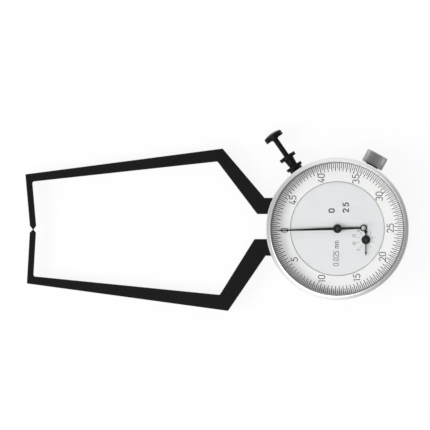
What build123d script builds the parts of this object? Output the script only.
from build123d import *
import math
import os

# Outside dial caliper gauge, in millimetres. It lies on its flat back: the dial
# faces +Z, the two jaw arms reach towards -X, and the origin is on the dial's
# axis, in the plane of the back. Distances called "from the axis" are radii
# from the dial's axis, and an "opening" is measured between the two contacts.

# What the gauge measures
reach = 84.0
measuring_range = 25.0
overtravel = 1.0
travel_per_turn = 5.0
contact_height = -0.35
contact_gap = 0.06

# Bezel, scale and crystal
bezel_radius = 25.7
bezel_wall = 1.2
bezel_rim = 1.75
bezel_skirt = 1.8
bezel_chamfer = 0.6
bezel_lip = 0.8
scale_width = 7.65
scale_thickness = 0.4
spacer_wall = 0.65
crystal_gap = 0.35
crystal_flange = 0.8
crystal_rise = 0.4
crystal_edge_break = 0.2
retaining_wire_width = 0.7
retaining_wire_height = 0.6
retaining_wire_gap_angle = 40.0

# Case and back cover
case_wall = 2.0
web_thickness = 1.6
dial_seat_height = 0.4
cover_height = 2.6
cover_floor = 1.2
cover_edge_break = 0.5
lug_radius = 2.2
lug_height = 5.0
lug_setback = 1.75
lug_angles = (105.0, 225.0, 345.0)
cover_screw_radius = 1.0
cover_screw_head = 1.9
cover_screw_length = 5.6
screw_slot_width = 0.4
screw_slot_depth = 0.35

# Jaw arms: outer corners from the contact or from the bezel's edge, then the
# width of each bar, given at both of its ends where it tapers
arm_thickness = 3.0
arm_lift = 0.2
arm_edge_break = 0.2
arm_corner_radius = 0.7
contact_flat = 0.3
upper_contact_left = 1.15
upper_contact_height = 1.4
upper_heel_overhang = 2.8
upper_heel_height = 19.95
upper_knee_setback = 15.6
upper_knee_height = 28.9
upper_root_setback = 0.5
upper_stub_top = 11.13
upper_tip_width = 2.24
upper_bar_widths = (2.9, 4.45)
upper_diagonal_widths = (4.35, 5.65)
upper_stub_width = 5.89
lower_contact_left = 1.2
lower_contact_height = 1.05
lower_heel_overhang = 2.25
lower_heel_height = 19.45
lower_knee_setback = 13.65
lower_knee_height = 29.7
lower_root_setback = 0.1
lower_stub_bottom = 9.8
lower_tip_width = 2.2
lower_bar_widths = (2.82, 5.48)
lower_diagonal_widths = (5.64, 6.61)
lower_stub_width = 6.04

# Pivot of the moving arm, and its tail inside the case
pivot_setback = 4.65
pivot_radius = 1.3
pivot_head_radius = 2.1
pivot_head_height = 0.9
pivot_boss_radius = 2.9
pivot_thread_length = 2.2
bush_wall = 1.0
eye_radius = 4.2
nose_radius = 1.5
nose_neck_radius = 0.9
tail_pad_radius = 1.9
tail_pad_distance = 6.8
tail_pad_angles = (8.0, -42.0)
rivet_radius = 0.7
rivet_head_radius = 1.15
rivet_head_height = 0.35

# Seat of the fixed arm
fixed_seat_length = 10.94
fixed_screw_radius = 1.0
fixed_screw_head = 1.8
fixed_screw_length = 6.0
fixed_screw_margin = 2.5
dowel_radius = 0.75
dowel_length = 4.5
dowel_spread = 1.5

# Gear train
module = 0.2
pressure_angle = math.radians(20.0)
addendum_share = 0.9
dedendum_share = 1.25
tooth_share = 0.46
internal_space_share = 0.54
intermediate_pinion_teeth = 10
intermediate_wheel_teeth = 60
centre_pinion_teeth = 12
counter_reduction = 10
counter_wall_gap = 1.2
counter_arbor_gap = 0.705
sector_thickness = 0.8
sector_rim = 1.7
sector_window_clearance = 0.13
sector_margin = 4.5
sector_end_width = 2.0
sector_opening_inner = 9.6
sector_opening_margin = 1.3
wheel_thickness = 0.5
wheel_rim = 1.0
wheel_hub_radius = 1.6
spoke_width = 0.9
spoke_count = 5
pinion_overhang = 0.2
pinion_flank_steps = 4
wheel_flank_steps = 2
layer_gap = 0.7
arbor_radius = 0.6
arbor_seat_radius = 0.8
arbor_pivot_radius = 0.4
bearing_bush_radius = 1.1

# Movement plate and what stands on it
plate_thickness = 1.0
plate_drop = 1.0
plate_edge = 2.6
plate_centre_setback = 1.0
pillar_angles = (30.5, 80.0, -78.1)
pillar_setback = 2.9
pillar_radius = 1.6
pillar_spigot_radius = 1.0
movement_screw_radius = 0.8
movement_screw_head = 1.5
movement_screw_head_height = 0.8
movement_screw_length = 3.2
stop_pin_radius = 0.75
stop_pin_distance = 13.0

# Springs
collet_radius = 1.25
hairspring_outer_radius = 4.3
hairspring_turns = 5
hairspring_strip = 0.12
hairspring_height = 0.4
hairspring_lift = 0.35
collet_overhang = 0.15
stud_radius = 0.5
closing_spring_wire = 0.4
closing_spring_radius = 0.85
closing_spring_pitch = 1.0
closing_spring_end = 1.5
closing_spring_stud_distance = 8.0
closing_spring_stud_angle = -24.0
closing_spring_post_setback = 6.0
closing_spring_post_angle = 110.6
plunger_spring_wire = 0.3
plunger_spring_turns = 5.0

# Plunger that opens the jaws, on a radial axis
plunger_angle = 124.7
stem_radius = 0.8
stem_collar_radius = 1.15
stem_collar_height = 1.0
stem_head_gap = 0.1
stem_tip_chamfer = 0.3
stem_free_length = 7.2
button_radius = 3.4
button_edge = 1.1
button_dome = 0.9
button_hub_radius = 1.3
button_hub_height = 0.5
sleeve_tube_length = 5.95
sleeve_radius = 1.65
sleeve_bore_radius = 1.25
sleeve_roof = 0.9
sleeve_shank_radius = 1.6
sleeve_shank_projection = 0.5
sleeve_hex = 4.2
lower_flange_gap = 0.45
lower_flange_radius = 3.05
lower_flange_height = 0.9
upper_flange_rise = 4.5
upper_flange_radius = 3.1
upper_flange_height = 1.15
sleeve_plug_height = 1.0

# Bezel clamp, on another radial axis
clamp_angle = 61.3
clamp_height = 5.6
knob_gap = 0.3
knob_length = 4.6
knob_radius = 3.8
knob_edge_break = 0.45
knurl_count = 60
knurl_depth = 0.22
clamp_screw_radius = 1.25
clamp_screw_grip = 3.0
clamp_thread_length = 2.5
clamp_boss_radius = 2.6
shoe_width = 4.5
shoe_drop = 2.6
shoe_pocket_depth = 1.0
shoe_wedge_height = 0.45

# Dial plate and pointers
dial_gap = 0.1
dial_overhang = 0.3
dial_thickness = 0.4
dial_foot_radius = 0.6
dial_foot_setback = 3.3
dial_foot_angles = (50.0, 225.0)
pointer_rest_angle = 181.8
pointer_thickness = 0.18
pointer_gap = 0.3
pointer_blade_lift = 0.2
pointer_tip_gap = 1.65
pointer_root_width = 0.9
pointer_tip_width = 0.3
pointer_hub_radius = 1.45
pointer_hub_height = 0.75
pointer_ring_distance = 9.4
pointer_ring_radius = 1.25
pointer_ring_hole = 0.8
counter_hub_radius = 1.55
counter_hub_height = 0.5
counter_needle = 5.7
counter_needle_width = 0.5
counter_needle_tip = 0.3
counter_spear_length = 1.35
counter_spear_width = 0.7
counter_tail = 2.9
counter_blob_radius = 0.6

# Clearances
running_clearance = 0.03
slide_clearance = 0.06
thrust_clearance = 0.1
slot_clearance = 0.3
clamp_clearance = 0.03

# How far a cut runs on past the face that it leaves by
cut_margin = 1.0

# Heights, from the back upwards
arm_bottom = cover_height + arm_lift
arm_top = arm_bottom + arm_thickness
sector_top = arm_top + sector_thickness
boss_face = sector_top + thrust_clearance
wheel_bottom = sector_top + layer_gap
wheel_top = wheel_bottom + wheel_thickness
counter_wheel_bottom = wheel_top + layer_gap
counter_wheel_top = counter_wheel_bottom + wheel_thickness
web_back = counter_wheel_top + layer_gap
web_front = web_back + web_thickness
dial_bottom = web_front + dial_seat_height
dial_top = dial_bottom + dial_thickness
scale_top = dial_bottom + scale_thickness
counter_pointer_bottom = dial_top + pointer_gap
pointer_bottom = counter_pointer_bottom + counter_hub_height + pointer_gap
spacer_top = pointer_bottom + pointer_hub_height + crystal_gap
crystal_flange_top = spacer_top + crystal_flange
lip_bottom = crystal_flange_top + slide_clearance
bezel_top = lip_bottom + bezel_lip
bezel_bottom = web_front - bezel_skirt
crystal_top = crystal_flange_top + crystal_rise
plate_top = arm_top - plate_drop
plate_bottom = plate_top - plate_thickness
hairspring_bottom = plate_top + hairspring_lift
arm_middle = arm_bottom + arm_thickness / 2

# Radii from the dial's axis
bezel_bore = bezel_radius - bezel_wall
case_radius = bezel_bore - slide_clearance
case_bore = case_radius - case_wall
lug_distance = case_bore - lug_setback
bezel_opening = bezel_radius - bezel_rim
scale_inner_radius = bezel_bore - scale_width
dial_radius = scale_inner_radius - dial_gap
dial_seat_radius = dial_radius - dial_overhang
pointer_reach = bezel_opening - pointer_tip_gap
wedge_start = bezel_radius - bezel_chamfer
wire_middle = (bezel_bore + case_radius) / 2
wire_height = (bezel_bottom + web_front) / 2
bush_radius = pivot_radius + running_clearance + bush_wall
fixed_arm_end = -(case_bore - fixed_seat_length)

# Along the plunger's axis and along the clamp's, outwards from the dial's axis
plug_inner = case_bore - sleeve_shank_projection
lower_flange_inner = bezel_radius + lower_flange_gap
upper_flange_inner = lower_flange_inner + upper_flange_rise
sleeve_top = lower_flange_inner + sleeve_tube_length
button_inner = sleeve_top + stem_free_length
knob_inner = bezel_radius + knob_gap
collar_top = sleeve_top - sleeve_roof - slide_clearance
collar_bottom = collar_top - stem_collar_height
clamp_thread_start = case_radius - shoe_pocket_depth - clamp_thread_length
shoe_inner = case_radius - shoe_pocket_depth + slide_clearance

# Lever: the contacts' circle about the pivot gives the gear ratio
contact_x = -(bezel_radius + reach)
contact = (contact_x, contact_height)
pivot_x = -(case_bore - pivot_setback)
pivot_y = upper_stub_top - upper_stub_width / 2
pivot = (pivot_x, pivot_y)
contact_arm = math.dist(contact, pivot)
opening_angle = (measuring_range + overtravel) / contact_arm
total_ratio = 2 * math.pi * contact_arm / travel_per_turn
second_ratio = intermediate_wheel_teeth / centre_pinion_teeth
sector_teeth = round(total_ratio / second_ratio * intermediate_pinion_teeth)


def polar(radius, angle, centre=(0.0, 0.0)):
    """Point at this radius and angle, in radians, about a centre."""
    return (centre[0] + radius * math.cos(angle), centre[1] + radius * math.sin(angle))


def direction(start, end):
    """Angle of the line from one point to another, in radians."""
    return math.atan2(end[1] - start[1], end[0] - start[0])


def pitch_radius(teeth):
    return module * teeth / 2


def corner(first, second, opposite):
    """Angle between two sides of a triangle, from the lengths of its three sides."""
    return math.acos((first**2 + second**2 - opposite**2) / (2 * first * second))


# Places of the three arbors. The intermediate one is where its distance from the
# sector's pivot and its distance from the centre are both right. The counter's
# gears are as large as the case has room for, and its wheel just clears the
# intermediate arbor.
centre = (0.0, 0.0)
sector_radius = pitch_radius(sector_teeth)
pivot_to_intermediate = sector_radius - pitch_radius(intermediate_pinion_teeth)
centre_to_intermediate = pitch_radius(intermediate_wheel_teeth) + pitch_radius(centre_pinion_teeth)
centre_to_pivot = math.dist(centre, pivot)
turn_from_pivot = corner(centre_to_pivot, centre_to_intermediate, pivot_to_intermediate)
intermediate = polar(centre_to_intermediate, direction(centre, pivot) - turn_from_pivot)
counter_room = case_bore - counter_wall_gap
counter_pinion_teeth = int(counter_room / pitch_radius(1 + 2 * counter_reduction))
counter_wheel_teeth = counter_reduction * counter_pinion_teeth
counter_distance = pitch_radius(counter_pinion_teeth) + pitch_radius(counter_wheel_teeth)
counter_wheel_tip = pitch_radius(counter_wheel_teeth) + addendum_share * module
counter_to_intermediate = counter_wheel_tip + arbor_radius + counter_arbor_gap
turn_to_counter = corner(centre_to_intermediate, counter_distance, counter_to_intermediate)
counter = polar(counter_distance, direction(centre, intermediate) - turn_to_counter)
arbor_positions = (centre, intermediate, counter)

# The plunger presses the tail's round nose. The nose is square to the plunger's
# axis, seen from the pivot, when the jaws are half open.
plunger_axis = math.radians(plunger_angle)
lever = abs(pivot_x * math.sin(plunger_axis) - pivot_y * math.cos(plunger_axis))
nose = polar(lever, plunger_axis - math.pi / 2 + opening_angle / 2, pivot)
nose_along_axis = nose[0] * math.cos(plunger_axis) + nose[1] * math.sin(plunger_axis)
stem_inner = nose_along_axis + nose_radius + stem_head_gap
plunger_travel = 2 * lever * math.sin(opening_angle / 2)

# Angles of the sector about the pivot, at rest
centre_angle = direction(pivot, centre)
mesh_angle = direction(pivot, intermediate)
sector_tooth_angle = 2 * math.pi / sector_teeth
window_low = centre_angle - math.radians(sector_margin)
window_high = mesh_angle + opening_angle + math.radians(sector_margin)
sector_outer = sector_radius + dedendum_share * module + sector_rim
sector_end = sector_end_width / sector_radius
sector_low = window_low - sector_end
sector_high = window_high + sector_end
window_outer = sector_radius + dedendum_share * module
pinion_tip = pitch_radius(intermediate_pinion_teeth) + addendum_share * module
window_passes = (centre_to_pivot - arbor_radius, pivot_to_intermediate - pinion_tip)
window_inner = min(window_passes) - sector_window_clearance
tail_pads = [polar(tail_pad_distance, math.radians(angle), pivot) for angle in tail_pad_angles]
stop_pin_angle = sector_low - opening_angle - (stop_pin_radius + slide_clearance) / stop_pin_distance
stop_pin_at = polar(stop_pin_distance, stop_pin_angle, pivot)


def round_the_axis(radius, angles):
    """Places at one radius from the dial's axis, at these angles in degrees."""
    return [polar(radius, math.radians(angle)) for angle in angles]


lug_centres = round_the_axis(lug_distance, lug_angles)
pillar_positions = round_the_axis(case_bore - pillar_setback, pillar_angles)
dial_foot_positions = round_the_axis(dial_radius - dial_foot_setback, dial_foot_angles)

# Fixings of the fixed arm: two screws on its stub's middle line, with two dowels
# between them, set to either side of it
fixed_arm_middle = -lower_stub_bottom + lower_stub_width / 2
fixed_screws = (
    (-case_bore + fixed_screw_margin, fixed_arm_middle),
    (fixed_arm_end - fixed_screw_margin, fixed_arm_middle),
)
fixed_seat_middle = (fixed_screws[0][0] + fixed_screws[1][0]) / 2
fixed_dowels = (
    (fixed_seat_middle - dowel_spread / 2, fixed_arm_middle + dowel_spread),
    (fixed_seat_middle + dowel_spread / 2, fixed_arm_middle - dowel_spread),
)

# The hairspring winds out from its collet to a stud that stands on the plate,
# away from the sector
hairspring_last_angle = direction(pivot, counter)
hairspring_end = polar(hairspring_outer_radius + stud_radius, hairspring_last_angle, counter)

# The closing spring is stretched over the sector, from a stud on it to a post in
# the web
closing_spring_outer = closing_spring_radius + closing_spring_wire / 2
closing_spring_height = sector_top + rivet_head_height + closing_spring_outer + slide_clearance
closing_stud_at = polar(closing_spring_stud_distance, math.radians(closing_spring_stud_angle), pivot)
closing_post_distance = case_bore - closing_spring_post_setback
closing_post_at = polar(closing_post_distance, math.radians(closing_spring_post_angle))

STANDING = (Align.CENTER, Align.CENTER, Align.MIN)


def post(radius, bottom, top, at=(0.0, 0.0)):
    """Cylinder along Z between two heights."""
    return Pos(at[0], at[1], bottom) * Cylinder(radius, top - bottom, align=STANDING)


def tube(outer, inner, bottom, top, at=(0.0, 0.0)):
    return post(outer, bottom, top, at) - post(inner, bottom, top, at)


def block(low, high):
    """Box between two opposite corners."""
    size = [b - a for a, b in zip(low, high)]
    return Pos(*low) * Box(*size, align=(Align.MIN, Align.MIN, Align.MIN))


def turned(*profile):
    """Solid turned about Z from its corners, each a radius and a height."""
    section = make_face(Polyline(*[(r, 0, z) for r, z in profile], close=True))
    return revolve(section, Axis.Z)


def plate(outline, bottom, top):
    """Flat piece between two heights, from a closed list of corners or a face."""
    face = outline
    if isinstance(outline, list):
        face = make_face(Polyline(*outline, close=True))
    return Pos(0, 0, bottom) * extrude(face, top - bottom)


def radial(angle, height):
    """Place whose Z axis runs outwards from the dial's axis and whose X axis points up."""
    outwards = (math.cos(math.radians(angle)), math.sin(math.radians(angle)), 0)
    return Plane(origin=(0, 0, height), x_dir=(0, 0, 1), z_dir=outwards).location


def together(solids):
    """Several separate solids as one node."""
    return Compound(children=list(solids))


def driver_slot(head_radius, face):
    """Screwdriver slot in a head whose flat end is at this height and faces -Z."""
    width = screw_slot_width / 2
    return block((-head_radius, -width, face), (head_radius, width, face + screw_slot_depth))


def countersunk_hole(shank_radius, head_radius, length):
    """Space that a countersunk screw fills, with its head flush at height 0."""
    cone = head_radius - shank_radius
    return turned((0, 0), (head_radius, 0), (shank_radius, cone), (shank_radius, length), (0, length))


def countersunk_screw(shank_radius, head_radius, length):
    """Screw with its flat head at height 0, pointing up."""
    return countersunk_hole(shank_radius, head_radius, length) - driver_slot(head_radius, 0)


def cheese_screw(shank_radius, head_radius, head_height, length):
    """Screw with a flat-topped head below height 0 and its shank above."""
    head = post(head_radius, -head_height, 0) - driver_slot(head_radius, -head_height)
    return head + post(shank_radius, 0, length)


def involute(angle):
    return math.tan(angle) - angle


def tooth_half_angle(teeth, radius, share):
    """Half the angle that an involute tooth takes at a radius, if it takes this share of the pitch."""
    base = pitch_radius(teeth) * math.cos(pressure_angle)
    angle = math.acos(min(1.0, base / radius))
    return share * math.pi / teeth + involute(pressure_angle) - involute(angle)


def tooth_flanks(teeth, radii, share, middle, about):
    """Corners of one tooth: up its first flank and down its second."""
    rising = [polar(r, middle - tooth_half_angle(teeth, r, share), about) for r in radii]
    falling = [polar(r, middle + tooth_half_angle(teeth, r, share), about) for r in reversed(radii)]
    return rising + falling


def gear(teeth, bottom, top, about, tooth_at, flank_steps=pinion_flank_steps):
    """Toothed disc with one tooth's middle at the angle tooth_at."""
    root = pitch_radius(teeth) - dedendum_share * module
    tip = pitch_radius(teeth) + addendum_share * module
    radii = [root + (tip - root) * step / flank_steps for step in range(flank_steps + 1)]
    outline = []
    for tooth in range(teeth):
        outline += tooth_flanks(teeth, radii, tooth_share, tooth_at + 2 * math.pi * tooth / teeth, about)
    return plate(outline, bottom, top)


def spoked_wheel(teeth, bottom, top, about, tooth_at, seat_radius):
    """Wheel with openings between its spokes and a hole for its arbor's seat."""
    rim_inner = pitch_radius(teeth) - dedendum_share * module - wheel_rim
    openings = tube(rim_inner, wheel_hub_radius, bottom, top, about)
    for spoke in range(spoke_count):
        bar = block((0, -spoke_width / 2, bottom), (rim_inner + wheel_rim / 2, spoke_width / 2, top))
        openings -= Pos(about[0], about[1], 0) * Rot(0, 0, 360 * spoke / spoke_count) * bar
    wheel = gear(teeth, bottom, top, about, tooth_at, wheel_flank_steps)
    return wheel - openings - post(seat_radius, bottom, top, about)


def crossing(line_a, line_b):
    """Point where two lines meet, each given by two points."""
    (ax, ay), (bx, by) = line_a
    (cx, cy), (dx, dy) = line_b
    turn = (bx - ax) * (dy - cy) - (by - ay) * (dx - cx)
    along = ((cx - ax) * (dy - cy) - (cy - ay) * (dx - cx)) / turn
    return (ax + along * (bx - ax), ay + along * (by - ay))


def inner_line(start, end, widths, side):
    """Inner edge of a bar: its outer edge moved inwards by a width at each end."""
    length = math.dist(start, end)
    normal = (side * (end[1] - start[1]) / length, -side * (end[0] - start[0]) / length)
    return [(x + width * normal[0], y + width * normal[1]) for (x, y), width in zip((start, end), widths)]


def arm_face(side, corners, widths):
    """Outline of one arm. Its outer corners run from the contact's shoulder by the
    heel, the knee and the root to the end of the stub inside the case, and each
    bar between them has a width at both ends. side is 1 for the upper arm."""
    bars = zip(corners[:-1], corners[1:], widths)
    edges = [inner_line(start, end, pair, side) for start, end, pair in bars]
    inside = [crossing(a, b) for a, b in zip(edges[:-1], edges[1:])]
    apex_y = contact_height + side * contact_gap / 2
    half_flat = contact_flat / 2
    tip_inner = (corners[0][0] + widths[0][0], corners[0][1])
    apex = [(contact_x + half_flat, apex_y), (contact_x - half_flat, apex_y)]
    outline = list(corners) + [edges[-1][1]] + inside[::-1] + [tip_inner] + apex
    face = make_face(Polyline(*outline, close=True))
    rounded = [face.vertices().sort_by_distance((x, y, 0))[0] for x, y in inside]
    return fillet(rounded, arm_corner_radius)


def upper_arm_face():
    left = contact_x - upper_contact_left
    corners = [
        (left, contact_height + upper_contact_height),
        (contact_x - upper_heel_overhang, contact_height + upper_heel_height),
        (-(bezel_radius + upper_knee_setback), upper_knee_height),
        (-(bezel_radius + upper_root_setback), upper_stub_top),
        (pivot_x, upper_stub_top),
    ]
    widths = [
        (upper_tip_width, upper_tip_width),
        upper_bar_widths,
        upper_diagonal_widths,
        (upper_stub_width, upper_stub_width),
    ]
    return arm_face(1, corners, widths)


def lower_arm_face():
    left = contact_x - lower_contact_left
    corners = [
        (left, contact_height - lower_contact_height),
        (contact_x - lower_heel_overhang, contact_height - lower_heel_height),
        (-(bezel_radius + lower_knee_setback), -lower_knee_height),
        (-(bezel_radius + lower_root_setback), -lower_stub_bottom),
        (fixed_arm_end, -lower_stub_bottom),
    ]
    widths = [
        (lower_tip_width, lower_tip_width),
        lower_bar_widths,
        lower_diagonal_widths,
        (lower_stub_width, lower_stub_width),
    ]
    return arm_face(-1, corners, widths)


def arm_sheet(face):
    """Arm cut from sheet, with its edges broken."""
    sheet = plate(face, arm_bottom, arm_top)
    flat_sides = sheet.faces().sort_by(Axis.Z)
    return chamfer(flat_sides[0].edges() + flat_sides[-1].edges(), arm_edge_break)


def wire_groove():
    """Groove for the retaining wire, shared between the case and the bezel."""
    reach_each_way = retaining_wire_width / 2 + slide_clearance
    height_each_way = retaining_wire_height / 2 + slide_clearance
    return tube(
        wire_middle + reach_each_way,
        wire_middle - reach_each_way,
        wire_height - height_each_way,
        wire_height + height_each_way,
    )


def arm_slots():
    """Two openings in the case's wall: one that fits the fixed arm, and one that
    leaves the moving arm room to swing. Both are open towards the back cover."""
    far = case_radius + cut_margin
    fixed = block(
        (-far, -lower_stub_bottom, cover_height),
        (fixed_arm_end, -lower_stub_bottom + lower_stub_width, arm_top),
    )
    hub = bush_radius + bush_wall
    low = pivot_y - max(hub, upper_stub_width / 2) - slot_clearance
    swing = upper_stub_width / 2 * math.cos(opening_angle) + (far + pivot_x) * math.sin(opening_angle)
    high = pivot_y + swing + slot_clearance
    moving = block((-far, low, cover_height), (pivot_x, high, boss_face))
    return fixed + moving


def case_body():
    """Turned case: wall, a web across its front that carries the dial and the
    movement, and the bosses that the arms, screws and clamp are fastened to."""
    body = post(case_radius, cover_height, web_front) - post(case_bore, cover_height, web_back)
    lugs = [post(lug_radius, cover_height, cover_height + lug_height, at) for at in lug_centres]
    seat = block(
        (-case_radius, -lower_stub_bottom, arm_top),
        (fixed_arm_end, -lower_stub_bottom + lower_stub_width, web_back),
    )
    pivot_boss = post(pivot_boss_radius, boss_face, web_back, pivot)
    clamp_boss = radial(clamp_angle, clamp_height) * post(clamp_boss_radius, clamp_thread_start, case_radius)
    for boss in lugs + [seat, pivot_boss, clamp_boss]:
        body += boss
    body &= post(case_radius, cover_height, web_front)
    body += post(dial_seat_radius, web_front, dial_bottom)
    body -= arm_slots()
    for at in arbor_positions:
        body -= post(bearing_bush_radius, web_back, dial_bottom, at)
    for at in pillar_positions:
        body -= post(pillar_spigot_radius, web_back, web_front, at)
    for at in dial_foot_positions:
        body -= post(dial_foot_radius, web_back, dial_bottom, at)
    for at in fixed_screws:
        body -= post(fixed_screw_radius, arm_top, arm_bottom + fixed_screw_length, at)
    for at in fixed_dowels:
        body -= post(dowel_radius, arm_top, arm_bottom + dowel_length, at)
    for at in lug_centres:
        body -= post(cover_screw_radius, cover_height, cover_screw_length, at)
    body -= post(pivot_radius, boss_face, boss_face + pivot_thread_length, pivot)
    body -= post(stop_pin_radius, web_back, web_front, stop_pin_at)
    body -= post(stud_radius, web_back, web_front, closing_post_at)
    body -= wire_groove()
    sleeve_way = post(sleeve_shank_radius, case_bore - cut_margin, case_radius + cut_margin)
    body -= radial(plunger_angle, arm_middle) * sleeve_way
    screw_way = post(
        clamp_screw_radius + running_clearance, clamp_thread_start - cut_margin, case_radius + cut_margin
    )
    pocket = block(
        (-shoe_drop - slide_clearance, -shoe_width / 2 - slide_clearance, case_radius - shoe_pocket_depth),
        (bezel_bottom - clamp_height, shoe_width / 2 + slide_clearance, case_radius + cut_margin),
    )
    body -= radial(clamp_angle, clamp_height) * (screw_way + pocket)
    return body


def back_cover():
    """Dished cover with a pad for each of its three screws."""
    cover = turned(
        (0, 0),
        (case_radius - cover_edge_break, 0),
        (case_radius, cover_edge_break),
        (case_radius, cover_height),
        (case_bore, cover_height),
        (case_bore, cover_floor),
        (0, cover_floor),
    )
    for at in lug_centres:
        cover += post(lug_radius, cover_floor, cover_height, at)
    cover &= post(case_radius, 0, cover_height)
    for at in lug_centres:
        hole = countersunk_hole(cover_screw_radius, cover_screw_head, cover_height)
        cover -= Pos(at[0], at[1], 0) * hole
    return cover


def back_cover_screws():
    screw = countersunk_screw(cover_screw_radius, cover_screw_head, cover_screw_length)
    return together(Pos(x, y, 0) * screw for x, y in lug_centres)


def fixed_arm():
    arm = arm_sheet(lower_arm_face())
    for x, y in fixed_screws:
        hole = countersunk_hole(fixed_screw_radius, fixed_screw_head, arm_thickness)
        arm -= Pos(x, y, arm_bottom) * hole
    for at in fixed_dowels:
        arm -= post(dowel_radius, arm_bottom, arm_top, at)
    return arm


def fixed_arm_screws():
    screw = countersunk_screw(fixed_screw_radius, fixed_screw_head, fixed_screw_length)
    return together(Pos(x, y, arm_bottom) * screw for x, y in fixed_screws)


def fixed_arm_dowels():
    return together(post(dowel_radius, arm_bottom, arm_bottom + dowel_length, at) for at in fixed_dowels)


def moving_arm():
    """The upper arm, with the eye for its bush and the tail whose pads carry the
    sector. Its round nose stands out from the tail, so that the plunger's end
    touches nothing else."""
    circles = [Pos(*pivot) * Circle(eye_radius), Pos(*nose) * Circle(nose_neck_radius)]
    circles += [Pos(*at) * Circle(tail_pad_radius) for at in tail_pads]
    tail = make_hull(ShapeList([edge for circle in circles for edge in circle.edges()]))
    arm = arm_sheet(upper_arm_face()) + plate(tail, arm_bottom, arm_top)
    arm += post(nose_radius, arm_bottom, arm_top, nose)
    arm -= post(bush_radius, arm_bottom, arm_top, pivot)
    for at in tail_pads:
        arm -= post(rivet_radius, arm_bottom, arm_top, at)
    return arm


def pivot_bush():
    inner = pivot_radius + running_clearance
    return tube(bush_radius, inner, arm_bottom - thrust_clearance, sector_top, pivot)


def pivot_screw():
    """Shouldered screw: a head behind the bush, the bearing shank, and its threaded
    end in the case's boss."""
    shoulder = arm_bottom - 2 * thrust_clearance
    length = boss_face + pivot_thread_length - shoulder
    screw = cheese_screw(pivot_radius, pivot_head_radius, pivot_head_height, length)
    return Pos(pivot[0], pivot[1], shoulder) * screw


def fan(inner, outer, low, high, bottom, top):
    """Plate bounded by two arcs about the pivot and two radii."""
    middle = (low + high) / 2
    corners = [polar(r, a, pivot) for r, a in ((inner, low), (outer, low), (outer, high), (inner, high))]
    edges = [
        Line(corners[0], corners[1]),
        ThreePointArc(corners[1], polar(outer, middle, pivot), corners[2]),
        Line(corners[2], corners[3]),
        ThreePointArc(corners[3], polar(inner, middle, pivot), corners[0]),
    ]
    return plate(make_face(edges), bottom, top)


def sector_window():
    """The toothed opening. Its teeth are the gaps between cut tooth spaces."""
    tips = sector_radius - addendum_share * module
    inside_tips = tips - module / 2
    cut = fan(window_inner, tips, window_low, window_high, arm_top, sector_top)
    untoothed = mesh_angle - math.radians(sector_margin)
    cut += fan(inside_tips, window_outer, window_low, untoothed, arm_top, sector_top)
    first = math.ceil((untoothed - mesh_angle) / sector_tooth_angle) + 1
    last = math.floor((window_high - mesh_angle) / sector_tooth_angle) - 1
    radii = [inside_tips, sector_radius, window_outer]
    for space in range(first, last + 1):
        middle = mesh_angle + space * sector_tooth_angle
        outline = tooth_flanks(sector_teeth, radii, internal_space_share, middle, pivot)
        cut += plate(outline, arm_top, sector_top)
    return cut


def toothed_sector():
    """Sector on the moving arm's tail. The teeth are inside its window, so that the
    intermediate pinion turns the same way as the arm, and both the intermediate and
    the centre arbor pass through the window."""
    sector = fan(bush_radius, sector_outer, sector_low, sector_high, arm_top, sector_top)
    sector += post(bush_radius + bush_wall, arm_top, sector_top, pivot)
    for at in tail_pads:
        sector += post(tail_pad_radius, arm_top, sector_top, at)
    sector -= sector_window()
    trim = sector_opening_margin / sector_radius
    sector -= fan(
        sector_opening_inner,
        window_inner - sector_opening_margin,
        window_low + trim,
        window_high - trim,
        arm_top,
        sector_top,
    )
    for at in tail_pads:
        sector -= post(rivet_radius, arm_top, sector_top, at)
    sector -= post(stud_radius, arm_top, sector_top, closing_stud_at)
    return sector - post(bush_radius, arm_top, sector_top, pivot)


def sector_rivets():
    rivets = []
    for at in tail_pads:
        rivet = post(rivet_radius, arm_bottom, sector_top, at)
        rivet += post(rivet_head_radius, sector_top, sector_top + rivet_head_height, at)
        rivets.append(rivet)
    return together(rivets)


def arbor(at, top, seats):
    """Stepped arbor from the movement plate up to a height. Each seat is a radius
    and the heights that it runs between."""
    shaft = post(arbor_pivot_radius, plate_bottom, plate_top, at)
    shaft += post(arbor_radius, plate_top + running_clearance, web_back - running_clearance, at)
    shaft += post(arbor_pivot_radius, plate_top, top, at)
    for radius, bottom, seat_top in seats:
        shaft += post(radius, bottom, seat_top, at)
    return shaft


def intermediate_arbor():
    pinion_top = sector_top + pinion_overhang
    seat = (arbor_seat_radius, pinion_top, wheel_top + pinion_overhang)
    pinion = gear(intermediate_pinion_teeth, arm_top - pinion_overhang, pinion_top, intermediate, mesh_angle)
    return arbor(intermediate, web_front, [seat]) + pinion


def intermediate_wheel():
    tooth_at = direction(intermediate, centre)
    return spoked_wheel(
        intermediate_wheel_teeth, wheel_bottom, wheel_top, intermediate, tooth_at, arbor_seat_radius
    )


def centre_arbor():
    """Arbor of the main pointer, with the pinion that the train drives and the
    pinion that drives the turn counter."""
    driven_at = direction(centre, intermediate) + math.pi / centre_pinion_teeth
    driven = gear(
        centre_pinion_teeth, wheel_bottom - pinion_overhang, wheel_top + pinion_overhang, centre, driven_at
    )
    driving = gear(
        counter_pinion_teeth,
        counter_wheel_bottom - pinion_overhang,
        counter_wheel_top + pinion_overhang,
        centre,
        direction(centre, counter),
    )
    return arbor(centre, pointer_bottom + pointer_hub_height, []) + driven + driving


def counter_arbor():
    seat = (arbor_seat_radius, counter_wheel_bottom - wheel_thickness, counter_wheel_top)
    return arbor(counter, counter_pointer_bottom + counter_hub_height, [seat])


def counter_wheel():
    tooth_at = direction(counter, centre) + math.pi / counter_wheel_teeth
    return spoked_wheel(
        counter_wheel_teeth, counter_wheel_bottom, counter_wheel_top, counter, tooth_at, arbor_seat_radius
    )


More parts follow.
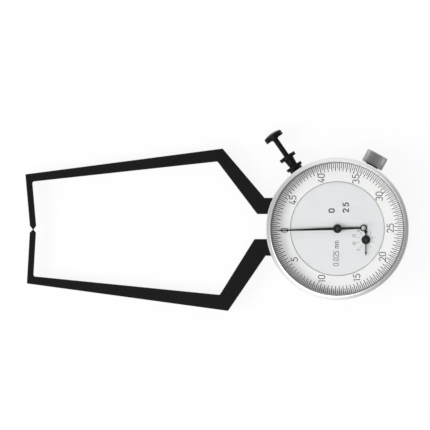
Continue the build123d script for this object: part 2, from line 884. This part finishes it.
def bearing_bushes():
    """Bushes pressed into the case's web and into the movement plate."""
    bore = arbor_pivot_radius + running_clearance
    bushes = []
    for at in arbor_positions:
        bushes.append(tube(bearing_bush_radius, bore, web_back, web_front, at))
        bushes.append(tube(bearing_bush_radius, bore, plate_bottom, plate_top, at))
    return together(bushes)


def movement_plate():
    corners = [pillar_positions[0], pillar_positions[1], (-plate_centre_setback, 0.0), pillar_positions[2]]
    outline = offset(Polygon(*corners, align=None), plate_edge, kind=Kind.ARC)
    body = plate(outline, plate_bottom, plate_top)
    for at in arbor_positions:
        body -= post(bearing_bush_radius, plate_bottom, plate_top, at)
    for at in pillar_positions:
        body -= post(movement_screw_radius, plate_bottom, plate_top, at)
    return body - post(stud_radius, plate_bottom, plate_top, hairspring_end)


def movement_pillars():
    pillars = []
    for at in pillar_positions:
        pillar = post(pillar_radius, plate_top, web_back, at)
        pillar += post(pillar_spigot_radius, web_back, web_front, at)
        screw_top = plate_bottom + movement_screw_length
        pillars.append(pillar - post(movement_screw_radius, plate_top, screw_top, at))
    return together(pillars)


def movement_screws():
    screw = cheese_screw(
        movement_screw_radius, movement_screw_head, movement_screw_head_height, movement_screw_length
    )
    return together(Pos(x, y, plate_bottom) * screw for x, y in pillar_positions)


def opening_stop_pin():
    """Pin that the sector's edge comes up to when the jaws are fully open."""
    return post(stop_pin_radius, arm_top + running_clearance, web_front, stop_pin_at)


def spiral_edge(shift):
    """One long edge of the hairspring's strip, moved outwards by shift. Each half
    turn is an arc, and every arc is larger than the one before it."""
    growth = (hairspring_outer_radius - collet_radius) / (2 * hairspring_turns)
    along = polar(1.0, hairspring_last_angle)
    edges = []
    for half in range(2 * hairspring_turns):
        side = 1 if (2 * hairspring_turns - half) % 2 == 0 else -1
        start = side * (collet_radius + half * growth + shift)
        end = -side * (collet_radius + (half + 1) * growth + shift)
        middle, radius = (start + end) / 2, abs(end - start) / 2
        low, high = [(counter[0] + d * along[0], counter[1] + d * along[1]) for d in (start, end)]
        arc_centre = polar(middle, hairspring_last_angle, counter)
        top = polar(radius, hairspring_last_angle + side * math.pi / 2, arc_centre)
        edges.append(ThreePointArc(low, top, high))
    return edges


def hairspring():
    inner, outer = spiral_edge(0), spiral_edge(hairspring_strip)
    ends = [Line(inner[0] @ 0, outer[0] @ 0), Line(inner[-1] @ 1, outer[-1] @ 1)]
    return plate(make_face(inner + outer + ends), hairspring_bottom, hairspring_bottom + hairspring_height)


def hairspring_collet():
    top = hairspring_bottom + hairspring_height + collet_overhang
    return tube(collet_radius, arbor_radius, hairspring_bottom - collet_overhang, top, counter)


def hairspring_stud():
    """Stud with a slot that pins the hairspring's outer end."""
    top = hairspring_bottom + hairspring_height + collet_overhang
    stud = post(stud_radius, plate_bottom, top, hairspring_end)
    gap = tube(
        hairspring_outer_radius + 2 * hairspring_strip,
        hairspring_outer_radius - hairspring_strip,
        hairspring_bottom - slide_clearance,
        top,
        counter,
    )
    return stud - gap


def helix_coil(radius, wire, pitch, start, end):
    """Round wire wound about Z between two heights."""
    path = Helix(pitch, end - start, radius)
    section = Plane(origin=path @ 0, z_dir=path % 0) * Circle(wire / 2)
    return Pos(0, 0, start) * sweep(section, path, is_frenet=True)


def closing_spring():
    """Extension spring that closes the jaws and gives the measuring force, with an
    eye round the stud at each end."""
    length = math.dist(closing_stud_at, closing_post_at)
    wire = closing_spring_wire / 2
    turns = round((length - 2 * closing_spring_end) / closing_spring_pitch)
    coil_length = turns * closing_spring_pitch
    start = (length - coil_length) / 2
    spring = helix_coil(
        closing_spring_radius, closing_spring_wire, closing_spring_pitch, start, start + coil_length
    )
    eye_radius_mean = stud_radius + wire + slide_clearance
    for eye_at, coil_end in ((0, start), (length, length - start)):
        inward = 1 if coil_end > eye_at else -1
        leg_from = eye_at + inward * eye_radius_mean
        low, high = sorted((leg_from, coil_end))
        spring += post(wire, low, high)
        spring += Pos(0, 0, coil_end) * Sphere(wire)
        spring += Pos(0, 0, coil_end) * Rot(0, 90, 0) * post(wire, 0, closing_spring_radius)
        spring += Pos(0, 0, eye_at) * Rot(90, 0, 0) * Torus(eye_radius_mean, wire)
    x, y = polar(1, direction(closing_stud_at, closing_post_at))
    place = Plane(origin=(*closing_stud_at, closing_spring_height), x_dir=(-y, x, 0), z_dir=(x, y, 0))
    return place.location * spring


def closing_spring_stud():
    """Stud on the sector."""
    top = closing_spring_height + closing_spring_outer
    return post(stud_radius, arm_top, top, closing_stud_at)


def closing_spring_post():
    """Post in the web."""
    return post(stud_radius, closing_spring_height - closing_spring_outer, web_front, closing_post_at)


def plunger_sleeve():
    """Guide of the plunger: a shank through the case's wall, a hexagon, two finger
    flanges and a roofed tube."""
    body = post(sleeve_shank_radius, plug_inner, case_radius)
    hexagon = RegularPolygon(sleeve_hex / 2, 6, major_radius=False, rotation=30)
    body += Pos(0, 0, case_radius) * extrude(hexagon, lower_flange_inner - case_radius)
    body += post(lower_flange_radius, lower_flange_inner, lower_flange_inner + lower_flange_height)
    body += post(sleeve_radius, lower_flange_inner, sleeve_top)
    body += post(upper_flange_radius, upper_flange_inner, upper_flange_inner + upper_flange_height)
    body -= post(sleeve_bore_radius, plug_inner, sleeve_top - sleeve_roof)
    body -= post(stem_radius + slide_clearance, plug_inner, sleeve_top)
    return radial(plunger_angle, arm_middle) * body


def plunger_plug():
    """Bush that closes the sleeve's inner end and holds the spring in."""
    plug_outer = plug_inner + sleeve_plug_height
    plug = tube(sleeve_bore_radius, stem_radius + slide_clearance, plug_inner, plug_outer)
    return radial(plunger_angle, arm_middle) * plug


def plunger_stem():
    stem = turned(
        (0, stem_inner),
        (stem_radius - stem_tip_chamfer, stem_inner),
        (stem_radius, stem_inner + stem_tip_chamfer),
        (stem_radius, button_inner + button_edge),
        (0, button_inner + button_edge),
    )
    stem += post(stem_collar_radius, collar_bottom, collar_top)
    return radial(plunger_angle, arm_middle) * stem


def thumb_button():
    """Domed button on the plunger's outer end."""
    edge_top = button_inner + button_edge
    radius = (button_radius**2 + button_dome**2) / (2 * button_dome)
    dome = Pos(0, 0, edge_top + button_dome - radius) * Sphere(radius)
    cap = post(button_radius, edge_top, edge_top + button_dome) & dome
    body = post(button_radius, button_inner, edge_top) + cap
    body += post(button_hub_radius, button_inner - button_hub_height, button_inner)
    body -= post(stem_radius, button_inner - button_hub_height, edge_top)
    return radial(plunger_angle, arm_middle) * body


def plunger_spring():
    """Coil spring between the plug and the stem's collar."""
    start = plug_inner + sleeve_plug_height + plunger_spring_wire
    height = collar_bottom - start - plunger_spring_wire
    radius = sleeve_bore_radius - slide_clearance - plunger_spring_wire / 2
    coil = helix_coil(radius, plunger_spring_wire, height / plunger_spring_turns, start, start + height)
    return radial(plunger_angle, arm_middle) * coil


def clamp_knob():
    """Knurled knob, with straight grooves along its side."""
    groove_angle = 2 * math.pi / knurl_count
    outline = []
    for groove in range(knurl_count):
        outline.append(polar(knob_radius, groove * groove_angle))
        outline.append(polar(knob_radius - knurl_depth, (groove + 0.5) * groove_angle))
    top = knob_inner + knob_length
    edge = knob_radius - knob_edge_break
    envelope = turned(
        (0, knob_inner),
        (edge, knob_inner),
        (knob_radius, knob_inner + knob_edge_break),
        (knob_radius, top - knob_edge_break),
        (edge, top),
        (0, top),
    )
    body = plate(outline, knob_inner, top) & envelope
    body -= post(clamp_screw_radius, knob_inner, knob_inner + clamp_screw_grip)
    return radial(clamp_angle, clamp_height) * body


def clamp_screw():
    screw = post(clamp_screw_radius, clamp_thread_start + slot_clearance, knob_inner + clamp_screw_grip)
    return radial(clamp_angle, clamp_height) * screw


def clamp_shoe():
    """Shoe in a pocket of the case's wall. The knob pushes it inwards, and its wedge
    then bears on the bezel's lower edge."""
    under = bezel_bottom - clamp_clearance - clamp_height
    wedge_foot = wedge_start + clamp_clearance * (math.sqrt(2) - 1)
    profile = [
        (-shoe_drop, shoe_inner),
        (-shoe_drop, knob_inner),
        (under + shoe_wedge_height, knob_inner),
        (under + shoe_wedge_height, wedge_foot + shoe_wedge_height),
        (under, wedge_foot),
        (under, shoe_inner),
    ]
    section = make_face(Polyline(*[(x, -shoe_width / 2, z) for x, z in profile], close=True))
    body = extrude(section, shoe_width, dir=(0, 1, 0))
    body -= post(clamp_screw_radius + running_clearance, shoe_inner, knob_inner)
    return radial(clamp_angle, clamp_height) * body


def bezel_ring():
    """Bezel: a skirt round the case, a seat for the scale, spacer and crystal, and a
    rounded rim with an inner lip over the crystal's flange."""
    rim_start = bezel_top - bezel_rim
    inner_top = (bezel_opening, 0, bezel_top)
    outline = [
        Line((bezel_bore, 0, bezel_bottom), (wedge_start, 0, bezel_bottom)),
        Line((wedge_start, 0, bezel_bottom), (bezel_radius, 0, bezel_bottom + bezel_chamfer)),
        Line((bezel_radius, 0, bezel_bottom + bezel_chamfer), (bezel_radius, 0, rim_start)),
        TangentArc((bezel_radius, 0, rim_start), inner_top, tangent=(0, 0, 1)),
        Line(inner_top, (bezel_opening, 0, lip_bottom)),
        Line((bezel_opening, 0, lip_bottom), (bezel_bore, 0, lip_bottom)),
        Line((bezel_bore, 0, lip_bottom), (bezel_bore, 0, bezel_bottom)),
    ]
    ring = revolve(make_face(outline), Axis.Z)
    return ring - wire_groove()


def bezel_retaining_wire():
    """Open ring of flat wire that lies half in the case and half in the bezel."""
    wire = Rectangle(retaining_wire_width, retaining_wire_height)
    section = Plane.XZ * Pos(wire_middle, wire_height) * wire
    return revolve(section, Axis.Z, 360 - retaining_wire_gap_angle)


def scale_ring():
    return tube(bezel_bore, scale_inner_radius, dial_bottom, scale_top)


def spacer_ring():
    return tube(bezel_bore, bezel_bore - spacer_wall, scale_top, spacer_top)


def crystal():
    """Clear disc. Its thinner edge lies under the bezel's lip, and its middle fills
    the opening."""
    side = bezel_opening - slide_clearance
    return turned(
        (0, spacer_top),
        (bezel_bore, spacer_top),
        (bezel_bore, crystal_flange_top),
        (side, crystal_flange_top),
        (side, crystal_top - crystal_edge_break),
        (side - crystal_edge_break, crystal_top),
        (0, crystal_top),
    )


def dial_plate():
    """Inner dial with two feet that locate it in the web."""
    body = post(dial_radius, dial_bottom, dial_top)
    for at in dial_foot_positions:
        body += post(dial_foot_radius, web_back, dial_bottom, at)
    body -= post(arbor_pivot_radius + slide_clearance, dial_bottom, dial_top, centre)
    return body - post(arbor_pivot_radius + slide_clearance, dial_bottom, dial_top, counter)


def needle(start, end, root_width, tip_width, bottom):
    """Tapered flat blade along X."""
    corners = [(start, -root_width / 2), (end, -tip_width / 2), (end, tip_width / 2), (start, root_width / 2)]
    return plate(corners, bottom, bottom + pointer_thickness)


def main_pointer():
    """Long needle, with a ring on its tail."""
    blade_bottom = pointer_bottom + pointer_blade_lift
    blade_top = blade_bottom + pointer_thickness
    ring_at = (-pointer_ring_distance, 0.0)
    body = needle(0, pointer_reach, pointer_root_width, pointer_tip_width, blade_bottom)
    body += needle(-pointer_ring_distance, 0, pointer_root_width, pointer_root_width, blade_bottom)
    body += post(pointer_ring_radius, blade_bottom, blade_top, ring_at)
    body -= post(pointer_ring_hole, blade_bottom, blade_top, ring_at)
    body += post(pointer_hub_radius, pointer_bottom, pointer_bottom + pointer_hub_height)
    body -= post(arbor_pivot_radius, pointer_bottom, pointer_bottom + pointer_hub_height)
    return Rot(0, 0, pointer_rest_angle) * body


def counter_pointer():
    """Short spear-tipped needle of the turn counter."""
    bottom = counter_pointer_bottom + pointer_blade_lift
    top = bottom + pointer_thickness
    neck = counter_needle - counter_spear_length
    body = needle(0, neck, counter_needle_width, counter_needle_tip, bottom)
    spear = [(neck, -counter_spear_width / 2), (counter_needle, 0), (neck, counter_spear_width / 2)]
    body += plate(spear, bottom, top)
    body += needle(-counter_tail, 0, counter_needle_width, counter_needle_width, bottom)
    body += post(counter_blob_radius, bottom, top, (-counter_tail, 0.0))
    hub_top = counter_pointer_bottom + counter_hub_height
    body += post(counter_hub_radius, counter_pointer_bottom, hub_top)
    body -= post(arbor_pivot_radius, counter_pointer_bottom, hub_top)
    return Pos(counter[0], counter[1], 0) * Rot(0, 0, -90) * body


NODES = (
    case_body,
    back_cover,
    back_cover_screws,
    fixed_arm,
    fixed_arm_screws,
    fixed_arm_dowels,
    moving_arm,
    pivot_bush,
    pivot_screw,
    toothed_sector,
    sector_rivets,
    intermediate_arbor,
    intermediate_wheel,
    centre_arbor,
    counter_arbor,
    counter_wheel,
    bearing_bushes,
    movement_plate,
    movement_pillars,
    movement_screws,
    opening_stop_pin,
    hairspring,
    hairspring_collet,
    hairspring_stud,
    closing_spring,
    closing_spring_stud,
    closing_spring_post,
    plunger_sleeve,
    plunger_plug,
    plunger_stem,
    plunger_spring,
    thumb_button,
    clamp_knob,
    clamp_screw,
    clamp_shoe,
    bezel_ring,
    bezel_retaining_wire,
    scale_ring,
    spacer_ring,
    crystal,
    dial_plate,
    main_pointer,
    counter_pointer,
)

os.makedirs("parts", exist_ok=True)
for make_node in NODES:
    export_step(make_node(), f"parts/{make_node.__name__}.step")
print("sector teeth", sector_teeth, "contact arm", round(contact_arm, 3))
print("opening angle, degrees", round(math.degrees(opening_angle), 3))
print("pivot", pivot, "intermediate", intermediate, "counter", counter)
print("plunger travel", round(plunger_travel, 3), "lever", round(lever, 3))
